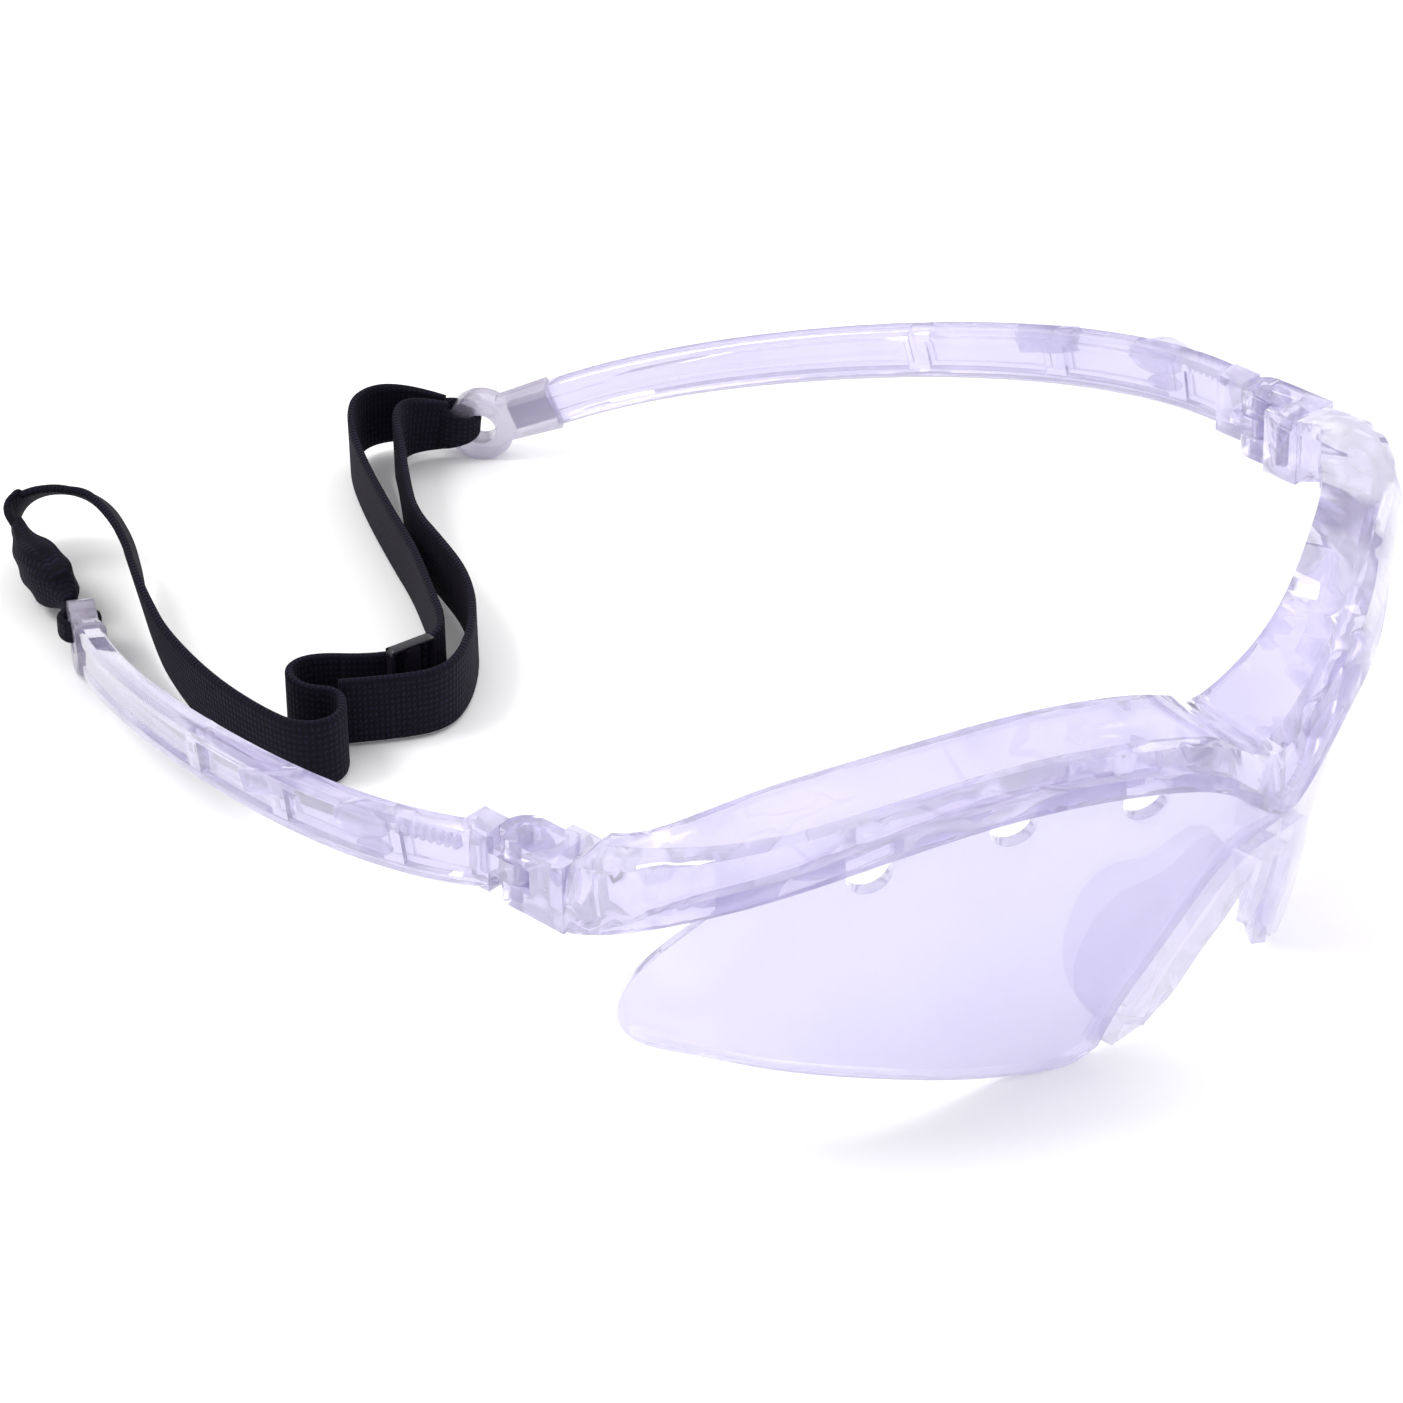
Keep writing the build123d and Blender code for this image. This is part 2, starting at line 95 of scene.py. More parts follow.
# %% camera
AZIMUTH, ELEVATION, ROLL = (math.radians(v) for v in (-46.85, 32.56, -0.78))
DISTANCE = 0.75307
LENS_MM, SENSOR_MM = 153.96, 36
SHIFT_X, SHIFT_Y = -0.0249, -0.0149
target = at(0, 0.030, 0.015)
back = Vector((
    math.sin(AZIMUTH) * math.cos(ELEVATION),
    -math.cos(AZIMUTH) * math.cos(ELEVATION),
    math.sin(ELEVATION),
))
level = Vector((math.cos(AZIMUTH), math.sin(AZIMUTH), 0))
upward = back.cross(level)
camera_x = level * math.cos(ROLL) + upward * math.sin(ROLL)
camera_y = -level * math.sin(ROLL) + upward * math.cos(ROLL)

camera_data = bpy.data.cameras.new("camera")
camera = bpy.data.objects.new("camera", camera_data)
bpy.context.scene.collection.objects.link(camera)
turn = Matrix((camera_x, camera_y, back)).transposed()
camera.matrix_world = Matrix.Translation(target + back * DISTANCE) @ turn.to_4x4()
camera_data.sensor_width, camera_data.lens = SENSOR_MM, LENS_MM
camera_data.shift_x, camera_data.shift_y = SHIFT_X, SHIFT_Y
camera_data.clip_start, camera_data.clip_end = 0.05, 10
bpy.context.scene.camera = camera
print("camera at", [round(v, 3) for v in camera.location])

# %% [markdown]
# ## Materials
# A material is a graph of nodes, and most of these are one Principled shader with a little noise
# in front of it. Two small helpers keep the graphs short: one turns a colour as painters write
# it into the linear numbers that light adds up in, and one adds a node with its settings.

# %% helpers for materials
OPAQUE = 1.0


def colour(code):
    """An sRGB hex colour as linear numbers."""
    shares = [int(code[i:i + 2], 16) / 255 for i in (1, 3, 5)]
    linear = [s / 12.92 if s <= 0.04045 else ((s + 0.055) / 1.055) ** 2.4 for s in shares]
    return linear + [OPAQUE]


def add(tree, kind, inputs=None, **settings):
    """Adds a node. Settings are its own values, and inputs are sockets' values or links."""
    node = tree.nodes.new(kind)
    for name, value in settings.items():
        setattr(node, name, value)
    for name, value in (inputs or {}).items():
        socket = node.inputs[name]
        if isinstance(value, bpy.types.NodeSocket):
            tree.links.new(value, socket)
        else:
            socket.default_value = value
    return node


def new_material(name):
    """An empty material with its output node, and the graph."""
    material = bpy.data.materials.new(name)
    material.use_nodes = True
    tree = material.node_tree
    tree.nodes.clear()
    add(tree, "ShaderNodeOutputMaterial", name="output")
    return material, tree


def mix_colours(tree, share, first, second):
    """A Mix node's colour result. Its sockets share their names, so they go by number."""
    return add(tree, "ShaderNodeMix", {0: share, 6: colour(first), 7: colour(second)},
               data_type="RGBA").outputs[2]


def surface(tree, shader):
    """Joins a shader to the material's output."""
    tree.links.new(shader.outputs[0], tree.nodes["output"].inputs["Surface"])


print("material helpers ready")

# %% [markdown]
# The lens, the brow frame and the temples are polycarbonate, injected into polished steel moulds.
# That gives a hard gloss and a faint bluish violet tint. Glass that bends all its light turns dark
# and busy where many walls lie behind each other. So part of the light is bent, with the index of
# polycarbonate, part goes straight on by Alpha, and a thin coat keeps the gloss. The tint drifts
# in slow clouds. Melt flows leave waves a few millimetres wide, which a weak noise bump gives.

# %% clear plastics
MM = 0.001
CLOUD_MM = 14                 # width of the tint's clouds
POLYCARBONATE_IOR = 1.585


def clear_plastic(name, tint, deep, roughness, wave_mm, wave_depth_mm, clear, alpha, coat):
    """Clear moulded plastic: tinted skin in slow clouds, part of the light let through."""
    material, tree = new_material(name)
    place = add(tree, "ShaderNodeTexCoord").outputs["Object"]
    clouds = add(tree, "ShaderNodeTexNoise",
                 {"Vector": place, "Scale": 1 / (CLOUD_MM * MM), "Detail": 1.0, "Roughness": 0.4})
    tone = mix_colours(tree, clouds.outputs["Fac"], tint, deep)
    waves = add(tree, "ShaderNodeTexNoise",
                {"Vector": place, "Scale": 1 / (wave_mm * MM), "Detail": 2.0, "Roughness": 0.5})
    bump = add(tree, "ShaderNodeBump",
               {"Height": waves.outputs["Fac"], "Strength": 1.0, "Distance": wave_depth_mm * MM})
    shader = add(tree, "ShaderNodeBsdfPrincipled",
                 {"Base Color": tone, "Normal": bump.outputs["Normal"],
                  "Roughness": roughness, "IOR": POLYCARBONATE_IOR,
                  "Transmission Weight": clear, "Alpha": alpha,
                  "Coat Weight": coat, "Coat Roughness": 0.04})
    surface(tree, shader)
    return material


# The two tints, then roughness, the waves' width and depth in millimetres, the share of light
# that is bent, alpha and coat. The lens is an even sheet, so its waves are long and faint.
lens_plastic = clear_plastic("polycarbonate_lens_polished_moulding",
                             "#E4DFFC", "#DDD7F9", 0.04, 9, 0.02, 0.60, 0.72, 0.4)
# The same plastic in thicker walls: a stronger gloss, and a tint that shows more.
frame_plastic = clear_plastic("polycarbonate_frame_polished_moulding",
                              "#DED8F6", "#CDC6EB", 0.04, 6, 0.03, 0.78, 0.86, 0.7)
# Soft vinyl on the nose, moulded with a skin that is a little duller.
soft_plastic = clear_plastic("clear_soft_vinyl_moulding",
                             "#D9D2F3", "#C4BCE2", 0.08, 3, 0.06, 0.76, 0.50, 0.5)
# Vinyl with a milky look over the ear tips, rough enough to blur what is behind it.
tip_plastic = clear_plastic("milky_soft_vinyl_moulding",
                            "#CFC9DE", "#B5AEC6", 0.20, 3, 0.10, 0.62, 0.74, 0.3)
# Small raised details are thin, so they are paler and let more light straight through.
pad_plastic = clear_plastic("polycarbonate_raised_detail",
                            "#E9E5FB", "#DDD7F4", 0.05, 4, 0.03, 0.74, 0.50, 0.6)
# A rounded edge gets a darker violet: painted shade for the light that its steep curve bends away,
# and it draws the part's outline.
painted_edge_shade_plastic = clear_plastic("polycarbonate_rounded_edge_painted_shade",
                             "#8E86AE", "#756D98", 0.05, 3, 0.02, 0.50, 0.85, 0.5)
print("clear plastics made")

# %% [markdown]
# Operators act on all that is selected, and the CAD parts arrive selected. So each step first
# clears the selection, then picks the one piece that it works on.

# %% helpers for pieces
def only_material(piece, material):
    """Gives a piece this one material."""
    piece.data.materials.clear()
    piece.data.materials.append(material)


def nothing_selected():
    """Leaves edit mode and clears the selection."""
    if bpy.context.object and bpy.context.object.mode != "OBJECT":
        bpy.ops.object.mode_set(mode="OBJECT")
    bpy.ops.object.select_all(action="DESELECT")


def pick(piece):
    """Selects one piece and makes it the active one."""
    nothing_selected()
    piece.select_set(True)
    bpy.context.view_layer.objects.active = piece


print("piece helpers ready")

# %% [markdown]
# ## Rounded copies of the moulded parts
# Moulded plastic has no sharp edges, and it is the small radius on each edge that catches the
# light. Each CAD part is copied, its loose triangles are merged, and a Bevel modifier rounds what
# is sharper than about 25 degrees. The new faces on the edges can take a darker material of their
# own, painted shade for the light that the rounded edges bend away. The copy then stands for the
# CAD part.

# %% round the edges
MERGE_WITHIN = 0.000005       # metres
SHARP = math.radians(25)      # an edge that turns more than this is rounded
SMOOTH = math.radians(50)     # and one that turns less than this is shaded smooth
BEVEL_SEGMENTS = 3


def rounded_copy(node, radius_mm, material, painted_edge_shade=None):
    """A copy of a CAD part with its edges rounded, which stands for that part."""
    source = frame["nodes"][node]
    piece = bpy.data.objects.new(node + "_moulding", source.data.copy())
    bpy.context.scene.collection.objects.link(piece)
    pick(piece)
    bpy.ops.object.mode_set(mode="EDIT")
    bpy.ops.mesh.select_all(action="SELECT")
    bpy.ops.mesh.remove_doubles(threshold=MERGE_WITHIN)
    bpy.ops.object.mode_set(mode="OBJECT")
    bevel = piece.modifiers.new("edges", "BEVEL")
    bevel.width = radius_mm * MM
    bevel.segments = BEVEL_SEGMENTS
    bevel.limit_method, bevel.angle_limit = "ANGLE", SHARP
    only_material(piece, material)
    # The rounded edges take the darker second material: painted edge shade.
    if painted_edge_shade:
        piece.data.materials.append(painted_edge_shade)
        bevel.material = 1
    bpy.ops.object.modifier_apply(modifier=bevel.name)
    bpy.ops.object.shade_smooth_by_angle(angle=SMOOTH)
    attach(piece, source["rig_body"])
    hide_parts(node)
    print(piece.name, len(piece.data.polygons), "faces")
    return piece


MOULDINGS = [        # CAD part, radius of its edges in millimetres, plastic, slot name
    ("front_frame", 0.35, frame_plastic, "frame_plastic"),
    ("lens", 0.25, lens_plastic, "lens_plastic"),
    ("nose_piece", 0.30, soft_plastic, "soft_plastic"),
    ("temple_left", 0.30, frame_plastic, "frame_plastic"),
    ("temple_right", 0.30, frame_plastic, "frame_plastic"),
    ("ear_tip_left", 0.40, tip_plastic, "tip_plastic"),
    ("ear_tip_right", 0.40, tip_plastic, "tip_plastic"),
    ("hinge_pin_left", 0.20, frame_plastic, "pin_plastic"),
    ("hinge_pin_right", 0.20, frame_plastic, "pin_plastic"),
]
# The rounded edges of each moulding get the painted edge shade.
for node, radius, finish, slot in MOULDINGS:
    rounded_copy(node, radius, finish, painted_edge_shade_plastic)

# %% [markdown]
# ## Raised details on the temples
# Each temple carries small moulded details on its outer face: an oval thumb boss with a dished
# middle, a smaller oval under it, a stepped block further back, a row of grip ribs, and an
# upright bar next to the hinge. Each is a primitive whose outer face is inset and pushed in, with
# its edges bevelled, and it sinks a little into the temple so that no gap shows.

# %% raised details
RIM_SHARE = 0.22              # the rim's width, as a share of the pad's shorter side
PAD_EDGE_MM = 0.22
FACES_OUT = 0.9               # a face whose normal has at least this share points outwards


def moulded_pad(name, body, side, place, size, tilt, sides, dish_mm):
    """A pad on the temple's outer face. size is its depth, length and height in millimetres."""
    nothing_selected()
    bpy.ops.mesh.primitive_cylinder_add(
        vertices=sides, radius=0.5, depth=1, location=(0, 0, 0),
        rotation=(0, math.radians(90), 0))
    pad = bpy.context.object
    pad.name = name
    bpy.ops.object.transform_apply(location=False, rotation=True, scale=False)
    spread = 1
    if sides == 4:            # turned so that its flats, not its corners, face up and along
        pad.rotation_euler = (math.radians(45), 0, 0)
        bpy.ops.object.transform_apply(location=False, rotation=True, scale=False)
        spread = math.sqrt(2)
    pad.scale = (size[0] * MM, size[1] * MM * spread, size[2] * MM * spread)
    bpy.ops.object.transform_apply(location=False, rotation=False, scale=True)
    bpy.ops.object.mode_set(mode="EDIT")
    shape = bmesh.from_edit_mesh(pad.data)
    for face in shape.faces:
        face.select_set(face.normal.x * side > FACES_OUT)
    bmesh.update_edit_mesh(pad.data)
    bpy.ops.mesh.inset(thickness=min(size[1], size[2]) * RIM_SHARE * MM)
    bpy.ops.transform.translate(value=(-side * dish_mm * MM, 0, 0))
    bpy.ops.object.mode_set(mode="OBJECT")
    bevel = pad.modifiers.new("edges", "BEVEL")
    bevel.width, bevel.segments = PAD_EDGE_MM * MM, BEVEL_SEGMENTS
    bevel.limit_method = "ANGLE"
    bpy.ops.object.modifier_apply(modifier=bevel.name)
    pad.rotation_euler = (math.radians(tilt), 0, 0)
    pad.location = place
    bpy.ops.object.transform_apply(location=True, rotation=True, scale=False)
    bpy.ops.object.shade_smooth_by_angle(angle=math.radians(40))
    only_material(pad, pad_plastic)
    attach(pad, body)
    return pad


# Name, place in millimetres with y counted from the hinge line, size in millimetres, tilt in
# degrees, number of sides, and the depth of its dish in millimetres.
PADS = [
    ("thumb_boss", 72.75, 21.0, 34.6, (1.9, 9.0, 4.6), -14, 40, 0.30),
    ("lower_boss", 72.35, 19.4, 31.6, (1.6, 6.0, 2.2), -14, 32, 0.20),
    ("stepped_block", 70.9, 38.6, 31.3, (2.2, 9.5, 3.0), -19, 4, 0.35),
    ("upright_bar", 69.9, 3.9, 36.0, (1.4, 1.2, 4.6), 0, 4, 0.10),
]
RIB_COUNT = 8
RIB_FROM, RIB_CHANGE = (72.75, 15.0, 36.2), (-1.15, -8.2, 0.95)   # the first, to the last

for side, hand in ((-1, "left"), (1, "right")):
    for name, x, y, z, size, tilt, sides, dish in PADS:
        moulded_pad(f"{name}_{hand}", f"temple_{hand}", side, at(side * x * MM, y * MM, z * MM),
                    size, tilt, sides, dish)
    for i in range(RIB_COUNT):
        share = i / (RIB_COUNT - 1)
        x, y, z = (start + change * share for start, change in zip(RIB_FROM, RIB_CHANGE))
        moulded_pad(f"grip_rib_{i + 1}_{hand}", f"temple_{hand}", side,
                    at(side * x * MM, y * MM, z * MM), (1.3, 0.7, 1.5), 0, 4, 0.05)
print(2 * (len(PADS) + RIB_COUNT), "raised details made")

# %% [markdown]
# ## Woven elastic
# The strap is woven elastic: rubber cores under a black polyester weave. Its face has fine ribs
# along its length and tiny cross threads, and it is quite matt, with a soft sheen at a grazing
# angle. The bands get their own UV map in metres, U along the band and V across it, so that the
# threads follow every twist.

# %% elastic webbing material
RIB_MM = 0.9          # spacing of the ribs along the band
NARROW_RIB_MM = 0.7   # the same on the narrow elastic
PICK_MM = 0.7         # spacing of the cross threads, drawn a little coarse so that it shows
FUZZ_MM = 2.5         # size of the patches where the thread's nap lies another way
WAVE_REPEAT = 0.314   # metres from band to band of a Wave texture whose scale is 1


def webbing_material(name, dark, light, rib_mm):
    """Black woven elastic: ribs times cross threads, as colour and as bump."""
    material, tree = new_material(name)
    uv = add(tree, "ShaderNodeUVMap", uv_map="band").outputs["UV"]
    ribs = add(tree, "ShaderNodeTexWave",
               {"Vector": uv, "Scale": WAVE_REPEAT / (rib_mm * MM), "Distortion": 0.0,
                "Detail": 0.0},
               wave_type="BANDS", bands_direction="Y", wave_profile="SIN")
    picks = add(tree, "ShaderNodeTexWave",
                {"Vector": uv, "Scale": WAVE_REPEAT / (PICK_MM * MM), "Distortion": 0.6,
                 "Detail": 1.0, "Detail Scale": 2.0},
                wave_type="BANDS", bands_direction="X", wave_profile="SIN")
    weave = add(tree, "ShaderNodeMath", {0: ribs.outputs["Fac"], 1: picks.outputs["Fac"]},
                operation="MULTIPLY")
    fuzz = add(tree, "ShaderNodeTexNoise",
               {"Vector": uv, "Scale": 1 / (FUZZ_MM * MM), "Detail": 3.0, "Roughness": 0.6})
    blend = add(tree, "ShaderNodeMath", {0: weave.outputs[0], 1: fuzz.outputs["Fac"]},
                operation="MULTIPLY")
    tone = mix_colours(tree, blend.outputs[0], dark, light)
    bump = add(tree, "ShaderNodeBump",
               {"Height": weave.outputs[0], "Strength": 0.8, "Distance": 0.18 * MM})
    shader = add(tree, "ShaderNodeBsdfPrincipled",
                 {"Base Color": tone, "Normal": bump.outputs["Normal"],
                  "Roughness": 0.88, "Sheen Weight": 0.08, "Sheen Roughness": 0.5,
                  "Sheen Tint": colour("#6A6478"), "Specular IOR Level": 0.15})
    surface(tree, shader)
    return material


webbing = webbing_material("polyester_elastic_webbing_woven", "#0A0812", "#1E1930", RIB_MM)
ribbed_webbing = webbing_material("ribbed_elastic_cord_band_woven", "#0A0812", "#211C33",
                                  NARROW_RIB_MM)
print("webbing materials made")

# %% [markdown]
# The slider is black acetal from a finely sparked mould. It has a soft gloss, broken by a grain
# too fine to feel, so it reads smoother than the strap beside it.

# %% slider plastic
GRAIN_MM = 0.4
slider_plastic, tree = new_material("acetal_slider_moulding_black")
grain = add(tree, "ShaderNodeTexNoise",
            {"Vector": add(tree, "ShaderNodeTexCoord").outputs["Object"],
             "Scale": 1 / (GRAIN_MM * MM), "Detail": 2.0})
tone = mix_colours(tree, grain.outputs["Fac"], "#121016", "#1D1A23")
bump = add(tree, "ShaderNodeBump",
           {"Height": grain.outputs["Fac"], "Strength": 0.5, "Distance": 0.03 * MM})
surface(tree, add(tree, "ShaderNodeBsdfPrincipled",
                  {"Base Color": tone, "Normal": bump.outputs["Normal"], "Roughness": 0.32}))
print("slider plastic made")

# %% [markdown]
# ## The strap's routes
# Each stretch of the strap follows a smooth NURBS line close to its CAD band. Each point has its
# place in metres, then how far the band leans towards the front left, in degrees, since a slack
# strap never stands quite upright, and its width as a share of 10 mm. Near the left ear tip the
# band is twisted, lifts off the table and leans far over.

# %% routes
FULL_LEAN = 57.4              # degrees
FREE_ROUTE = [
    (-0.0274, 0.1322, 0.0062, 40, 0.85), (-0.0281, 0.1362, 0.0072, 45, 0.95),
    (-0.0243, 0.1386, 0.0090, 54, 1), (-0.0222, 0.1370, 0.0103, FULL_LEAN, 1),
    (-0.0197, 0.1342, 0.0106, FULL_LEAN, 1), (-0.0181, 0.1301, 0.0100, FULL_LEAN, 1),
    (-0.0195, 0.1244, 0.0090, 56, 1), (-0.0222, 0.1189, 0.0078, 50, 1),
    (-0.0256, 0.1137, 0.0066, 42, 1), (-0.0298, 0.1066, 0.0059, 30, 1),
    (-0.0338, 0.0988, 0.0054, 20, 1), (-0.0378, 0.0865, 0.0053, 6, 1),
    (-0.0390, 0.0760, 0.0053, 3, 1), (-0.0386, 0.0690, 0.0053, 0, 1),
    (-0.0336, 0.0668, 0.0053, 0, 1), (-0.0290, 0.0713, 0.0053, 0, 1),
    (-0.0322, 0.0757, 0.0053, 0, 1), (-0.0306, 0.0805, 0.0053, 0, 1),
    (-0.0262, 0.0805, 0.0053, 0, 1), (-0.0236, 0.0772, 0.0053, 0, 1),
]
REAR_ROUTE = [
    (-0.0236, 0.0772, 0.0053, 0, 1), (-0.0197, 0.0727, 0.0053, 3, 1),
    (-0.0129, 0.0718, 0.0053, 5, 1), (-0.0086, 0.0736, 0.0053, 6, 1),
    (-0.0034, 0.0815, 0.0053, 8, 1), (0.0022, 0.0902, 0.0053, 9, 1),
    (0.0063, 0.0982, 0.0053, 9, 1), (0.0130, 0.1104, 0.0053, 9, 1),
    (0.0182, 0.1186, 0.0058, 8, 1), (0.0238, 0.1236, 0.0064, 6, 1),
    (0.0298, 0.1214, 0.0064, 4, 0.95), (0.0332, 0.1158, 0.0056, 4, 0.78),
]
FRONT_ROUTE = [
    (-0.0280, 0.0732, 0.0053, 3, 1), (-0.0222, 0.0684, 0.0053, 4, 1),
    (-0.0168, 0.0654, 0.0053, 5, 1), (-0.0108, 0.0674, 0.0053, 6, 1),
    (-0.0034, 0.0732, 0.0053, 8, 1), (0.0020, 0.0802, 0.0053, 6, 1),
    (0.0054, 0.0880, 0.0053, 5, 1), (0.0086, 0.0966, 0.0053, 5, 1),
    (0.0144, 0.1040, 0.0053, 5, 1), (0.0200, 0.1106, 0.0054, 5, 1),
    (0.0244, 0.1164, 0.0060, 5, 1), (0.0284, 0.1176, 0.0062, 5, 0.92),
    (0.0322, 0.1146, 0.0054, 4, 0.76),
]
LEAN_TO = Vector((back.x, back.y, 0)).normalized()
LINE_STEPS = 10               # points on the line for each control point


def smooth_line(points, name):
    """Points along the NURBS line that has these control points."""
    curve = bpy.data.curves.new(name, "CURVE")
    curve.dimensions = "3D"
    curve.resolution_u = LINE_STEPS
    spline = curve.splines.new("NURBS")
    spline.points.add(len(points) - 1)
    for spot, point in zip(spline.points, points):
        spot.co = (*point, 1)
    spline.order_u = 3                 # set once the points are there, or it stays straight
    spline.use_endpoint_u = True
    route = bpy.data.objects.new(name, curve)
    mesh = bpy.data.meshes.new_from_object(route)
    line = [v.co.copy() for v in mesh.vertices]
    bpy.data.meshes.remove(mesh)
    bpy.data.objects.remove(route)
    bpy.data.curves.remove(curve)
    return line


def line_length(line):
    """A line's length in metres."""
    return sum((b - a).length for a, b in zip(line, line[1:]))


print("routes of", len(FREE_ROUTE), len(REAR_ROUTE), len(FRONT_ROUTE), "points")

# %% [markdown]
# ## Sweeping a flat band
# A band is a row of rounded flat cross-sections along its line. At each point the width direction
# starts upright, leans as the route says, and is kept square to the line. A mesh swept this way
# keeps the real width and thickness through every twist, which a bevelled curve wouldn't.

# %% sweep
def headings(line):
    """The direction of a line at each of its points."""
    return [(line[min(i + 1, len(line) - 1)] - line[max(i - 1, 0)]).normalized()
            for i in range(len(line))]


def leaning(line, leans):
    """The direction across the band at each point of its line, from its leans in degrees."""
    directions = []
    for along, lean in zip(headings(line), leans):
        turned = math.radians(lean)
        across = Vector((0, 0, 1)) * math.cos(turned) + LEAN_TO * math.sin(turned)
        directions.append((across - along * across.dot(along)).normalized())
    return directions


FLAT_STEPS = 14
EDGE_TURNS = (60, 30, 0, -30, -60)     # degrees, where the rounded edge has its points


def band_section(width, thickness):
    """A flat section with rounded edges: (across, through) pairs, all round."""
    half, deep = width / 2, thickness / 2
    flat = half - min(deep, half * 0.5)
    ring = []
    for side in (1, -1):
        for i in range(FLAT_STEPS + 1):
            ring.append((side * flat * (1 - 2 * i / FLAT_STEPS), side * deep))
        for turn in EDGE_TURNS:
            ring.append((-side * (flat + (half - flat) * math.cos(math.radians(turn))),
                         side * deep * math.sin(math.radians(turn))))
    return ring


def sweep_band(name, line, across, sizes, material, section=band_section):
    """A closed band along a line. sizes has the width and thickness at each point."""
    mesh = bpy.data.meshes.new(name)
    shape = bmesh.new()
    uv = shape.loops.layers.uv.new("band")
    rings, done = [], 0.0
    for i, (point, along) in enumerate(zip(line, headings(line))):
        out = across[i].cross(along).normalized()
        outline = section(*sizes[i])
        done += (point - line[i - 1]).length if i else 0.0
        rings.append((done, outline, [shape.verts.new(point + across[i] * a + out * b)
                                      for a, b in outline]))
    count = len(rings[0][1])
    for (start, one_at, one), (stop, two_at, two) in zip(rings, rings[1:]):
        for j in range(count):
            k = (j + 1) % count
            face = shape.faces.new((one[j], one[k], two[k], two[j]))
            face.smooth = True
            places = ((start, one_at[j]), (start, one_at[k]), (stop, two_at[k]), (stop, two_at[j]))
            for loop, (far, spot) in zip(face.loops, places):
                loop[uv].uv = (far, spot[0])
    shape.faces.new(rings[0][2][::-1])
    shape.faces.new(rings[-1][2])
    bmesh.ops.recalc_face_normals(shape, faces=shape.faces)
    shape.to_mesh(mesh)
    shape.free()
    band = bpy.data.objects.new(name, mesh)
    bpy.context.scene.collection.objects.link(band)
    only_material(band, material)
    return band


print("sweep ready:", len(band_section(10, 1)), "points round a band")

# %% [markdown]
# ## The three stretches
# From the left ear tip a single band makes a turn, and from there to the right ear tip it lies
# doubled. The leans and widths go through the same smooth curve as the places, so that the band
# twists and narrows without a kink.

# %% strap
STRAP_WIDTH, STRAP_THICKNESS = 0.010, 0.0011


def strap_stretch(name, node, route):
    """One stretch of the strap: a swept band that stands for its CAD solid, and its line."""
    line = smooth_line([at(*point[:3]) for point in route], name + "_line")
    manner = smooth_line([(lean, share, 0) for *_, lean, share in route], name + "_manner")
    across = leaning(line, [spot.x for spot in manner])
    sizes = [(STRAP_WIDTH * spot.y, STRAP_THICKNESS) for spot in manner]
    band = sweep_band(name, line, across, sizes, webbing)
    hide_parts(node)
    print(name, round(line_length(line) / MM, 1), "mm,", len(band.data.polygons), "faces")
    return band, line


free_band, free_line = strap_stretch("strap_free_band", "strap_free", FREE_ROUTE)
rear_band, rear_line = strap_stretch("strap_rear_band", "strap_rear", REAR_ROUTE)
front_band, front_line = strap_stretch("strap_front_band", "strap_front", FRONT_ROUTE)

# %% [markdown]
# ## The sewn end
# At the left the strap is doubled over the narrow loop and sewn, which bunches it into a lump
# with soft folds. It is swept like the band, with an outline of three stacked layers that swells
# in the middle and closes to a neck.

# %% sewn end
LUMP_ROUTE = [       # place, lean in degrees, and width and thickness in millimetres
    (-0.0331, 0.1188, 0.0048, 20, 2.2, 1.8), (-0.0325, 0.1202, 0.0050, 22, 3.4, 2.8),
    (-0.0317, 0.1222, 0.0055, 24, 7.8, 5.0), (-0.0309, 0.1252, 0.0058, 28, 9.6, 6.2),
    (-0.0302, 0.1284, 0.0060, 32, 9.4, 5.6), (-0.0292, 0.1312, 0.0062, 38, 8.4, 4.2),
    (-0.0277, 0.1336, 0.0064, 42, 8.0, 2.2),
]


FOLD_STEPS = 48
FOLD_ROUNDNESS = 0.75         # below 1 the outline is squarer than an ellipse
GROOVE_DEPTH, CREASE_DEPTH = 0.10, 0.05                # shares of the section
WAVE_DEPTH_MM = 0.14


def folded_section(width, thickness):
    """Three layers lying on each other: a rounded outline with grooves down each edge."""
    ring = []
    for i in range(FOLD_STEPS):
        turn = math.tau * i / FOLD_STEPS
        c, s = math.cos(turn), math.sin(turn)
        across = width / 2 * math.copysign(abs(c) ** FOLD_ROUNDNESS, c)
        through = thickness / 2 * math.copysign(abs(s) ** FOLD_ROUNDNESS, s)
        layers = 1 + math.cos(3 * math.pi * through / thickness * 2)
        groove = 1 - GROOVE_DEPTH * abs(c) ** 3 * layers / 2
        crease = 1 + CREASE_DEPTH * math.sin(3 * turn + 1.0)
        ring.append((across * groove * crease, through * crease))
    return ring


lump_line = smooth_line([at(*point[:3]) for point in LUMP_ROUTE], "lump_line")
lump_manner = smooth_line([point[3:] for point in LUMP_ROUTE], "lump_manner")
lump_across = leaning(lump_line, [spot.x for spot in lump_manner])
lump_sizes = [(spot.y * MM, spot.z * MM) for spot in lump_manner]
sewn_end = sweep_band("strap_sewn_end", lump_line, lump_across, lump_sizes, webbing,
                      folded_section)
for spot in sewn_end.data.vertices:      # waves about 4 mm long, as in puckered cloth
    x, y, z = spot.co
    wave = math.sin(z * 1500 + y * 900) + math.sin(x * 1300 - y * 700)
    spot.co += spot.normal * wave * WAVE_DEPTH_MM * MM
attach(sewn_end, "temple_left")
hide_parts("strap_end")
print("sewn end", round(line_length(lump_line) / MM, 1), "mm long")

# %% [markdown]
# ## Narrow elastic through the ear tips
# A narrow ribbed elastic goes through each ear tip's hole and round the rear wall of its ring. It
# is swept along a line from the strap, over the ring's near face, through the hole and back.

# %% elastic through the rings
TIP_HEADING = Vector((-0.527, 0.763, -0.367)).normalized()    # the right ear tip's, rearwards
RING_X, RING_Y, RING_Z = 0.0368, 0.1120, 0.00475              # the middle of its hole
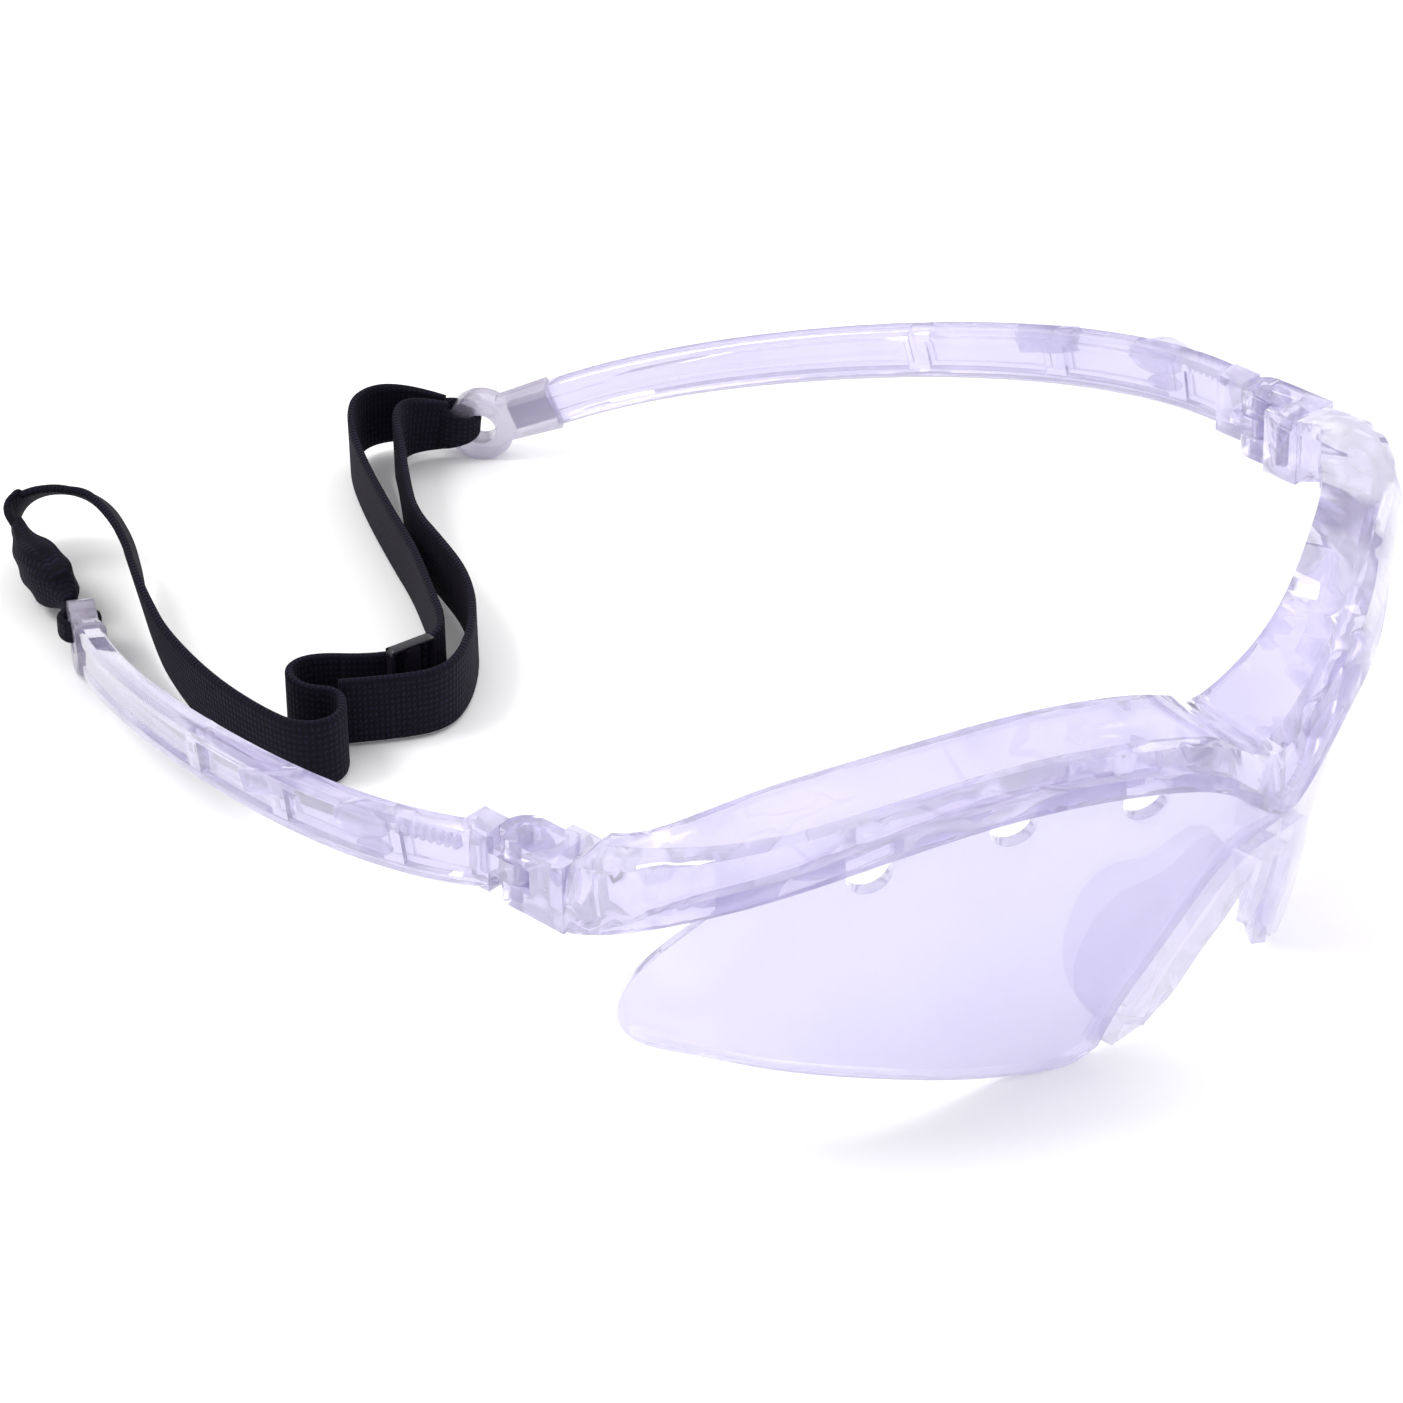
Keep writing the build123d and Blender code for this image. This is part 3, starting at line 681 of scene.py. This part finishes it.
# Half of the loop from the strap to the hole: how far out from the hole's middle in metres, and
# how far to the side of the ring in millimetres. It starts from the strap, wherever that is.
LOOP_HALF = [(5.2 * MM, 1.3), (3.6 * MM, 2.45), (1.5 * MM, 2.3), (0.8 * MM, 1.0)]
LOOP_AT_STRAP_MM, LOOP_INNERMOST = 0.6, 0.6 * MM
ELASTIC_THICKNESS_MM = 1.0


def ring_loop(name, node, body, side, end, widths):
    """side is 1 for the right tip. end is where the elastic meets the strap."""
    centre = at(side * RING_X, RING_Y, RING_Z)
    heading = Vector((side * TIP_HEADING.x, TIP_HEADING.y, TIP_HEADING.z))
    axis = Vector((0, 0, 1)).cross(heading).normalized() * side
    reach = end - centre
    out = reach.normalized()
    half = [(reach.length, LOOP_AT_STRAP_MM)] + LOOP_HALF
    route = [centre + out * far + axis * aside * MM for far, aside in half]
    route.append(centre + out * LOOP_INNERMOST)
    route += [centre + out * far - axis * aside * MM for far, aside in half[::-1]]
    both = widths + [widths[-1]] + widths[::-1]
    line = smooth_line(route, name + "_line")
    manner = smooth_line([(width, ELASTIC_THICKNESS_MM, 0) for width in both], name + "_manner")
    across = out.cross(axis).normalized()
    sizes = [(spot.x * MM, spot.y * MM) for spot in manner]
    loop = sweep_band(name, line, [across] * len(line), sizes, ribbed_webbing)
    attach(loop, body)
    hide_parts(node)
    print(name, round(line_length(line) / MM, 1), "mm")
    return loop


left_loop = ring_loop("tip_elastic_left", "tip_loop_left", "temple_left", -1,
                      at(-0.0330, 0.1190, 0.0049), [1.6, 2.2, 3.0, 3.2, 3.2])
right_loop = ring_loop("tip_elastic_right", "tip_loop_right", "temple_right", 1,
                       at(0.0322, 0.1156, 0.0054), [7.0, 6.8, 5.2, 3.9, 3.7])

# %% [markdown]
# ## Slider
# The slider is a small acetal plate with two windows and a bar between them. The CAD shape is
# right, and only its edges want rounding, which catches the light.

# %% slider
slider = rounded_copy("strap_slider", 0.45, slider_plastic)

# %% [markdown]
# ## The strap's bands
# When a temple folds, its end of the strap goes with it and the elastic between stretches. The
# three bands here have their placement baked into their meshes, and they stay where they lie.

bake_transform(free_band)
for band in (rear_band, front_band):
    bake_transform(band)

# %% [markdown]
# ## Floor and light
# The pale studio floor is one large plane, and the light is a white sky with two soft panels.
# A white sky alone would leave clear plastic nearly unseen. So the sky has one darker violet band
# a little above the horizon, and the plastic's curved walls reflect and bend it into grey lines.

# %% floor, sky and lights
nothing_selected()
FLOOR_DROP = 0.0001           # just under the object, so that the two don't flicker
bpy.ops.mesh.primitive_plane_add(size=6, location=(0, 0, -FLOOR_DROP))
floor = bpy.context.object
floor.name = "studio_floor"
floor_paint, tree = new_material("white_painted_board")
surface(tree, add(tree, "ShaderNodeBsdfPrincipled",
                  {"Base Color": colour("#FBFBFB"), "Roughness": 0.9}))
only_material(floor, floor_paint)

world = bpy.data.worlds.new("studio")
bpy.context.scene.world = world
world.use_nodes = True
sky = world.node_tree
height = add(sky, "ShaderNodeSeparateXYZ",
             {"Vector": add(sky, "ShaderNodeTexCoord").outputs["Generated"]})
ramp = add(sky, "ShaderNodeValToRGB", {"Fac": height.outputs["Z"]})
WHITE_BELOW, BAND_FROM, BAND_TO, WHITE_ABOVE = 0.11, 0.15, 0.24, 0.36    # heights, 1 is the top
stops = ramp.color_ramp.elements
for stop, position in zip(stops, (WHITE_BELOW, WHITE_ABOVE)):
    stop.position, stop.color = position, colour("#FFFFFF")
for position in (BAND_FROM, BAND_TO):
    stops.new(position).color = colour("#5F5976")
sky.links.new(ramp.outputs["Color"], sky.nodes["Background"].inputs["Color"])
SKY_STRENGTH = 1.12
sky.nodes["Background"].inputs["Strength"].default_value = SKY_STRENGTH


def panel(name, place, size, watts):
    """A square soft light that faces the object."""
    data = bpy.data.lights.new(name, "AREA")
    data.shape, data.size, data.energy = "SQUARE", size, watts
    light = bpy.data.objects.new(name, data)
    bpy.context.scene.collection.objects.link(light)
    light.location = place
    light.rotation_mode = "QUATERNION"
    light.rotation_quaternion = (-Vector(place)).to_track_quat("-Z", "Y")


panel("key_panel", (-0.5, 0.4, 0.9), 0.35, 4)
panel("fill_panel", (0.7, -0.2, 0.6), 0.5, 2)
bpy.context.scene.view_settings.view_transform = "Standard"
print("floor, sky and two panels made")
